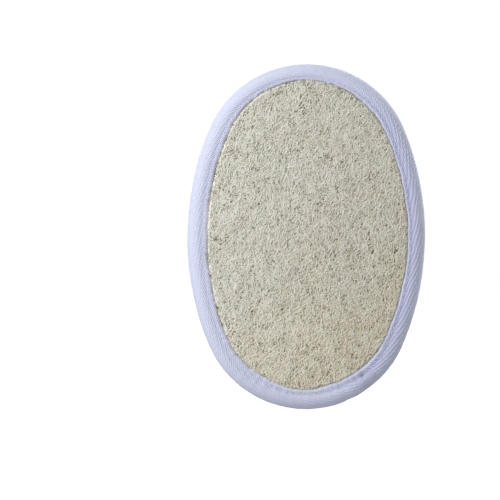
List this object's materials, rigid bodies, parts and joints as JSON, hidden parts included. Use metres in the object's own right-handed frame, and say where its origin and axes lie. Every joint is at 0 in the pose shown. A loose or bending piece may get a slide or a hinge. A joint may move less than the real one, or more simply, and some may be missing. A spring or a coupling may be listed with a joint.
{
  "type": "loofah back scrubber",
  "caption": "Oval scrubbing pad: loofah face, terry cloth back, taped edge, elastic hand strap across the back and a ribbon loop to hang it by.",
  "frame": {"origin": "centre of the flat loofah face", "axes": "-Y out of the loofah face, +Y out of the terry back towards the hand, +Z along the pad's length towards the hanging loop, +X across the width"},
  "size_m": [0.124, 0.019, 0.18],
  "materials": {
    "loofah": "dry loofah fibre, matt, a flattened mat of short curled fibres with small dark pits",
    "foam": "open-cell sponge, matt",
    "terry": "cotton terry, short looped pile, matt, white with a faint lilac cast",
    "binding_tape": "cotton twill tape, diagonal ribs, soft sheen, white with a faint lilac cast",
    "thread": "polyester sewing thread, white",
    "elastic_band": "woven elastic, lengthwise ribs, matt, cool white",
    "rubber_thread": "round natural rubber thread",
    "satin_ribbon": "polyester satin ribbon with woven selvedges, soft sheen, bluish white"
  },
  "bodies": {
    "pad": {"loofah_layer": "loofah", "foam_core": "foam", "terry_back": "terry", "edge_binding": "binding_tape", "needle_thread": "thread", "bobbin_thread": "thread", "thread_tails": "thread", "strap_tail_left": "elastic_band", "strap_tail_right": "elastic_band", "loop_tail": "satin_ribbon"},
    "hand_strap": {"hand_strap": "elastic_band", "rubber_threads": "rubber_thread"},
    "hanging_loop": {"hanging_loop": "satin_ribbon"}
  },
  "joints": [
    {"name": "strap_lift", "type": "slide", "parent": "pad", "child": "hand_strap", "axis": [0, 1, 0], "range_m": [0, 0.03], "stiffness_N_per_m": 200},
    {"name": "loop_swing", "type": "hinge", "parent": "pad", "child": "hanging_loop", "pos_m": [0, 0.0124, 0.0778], "axis": [1, 0, 0], "range_deg": [0, 135]}
  ]
}
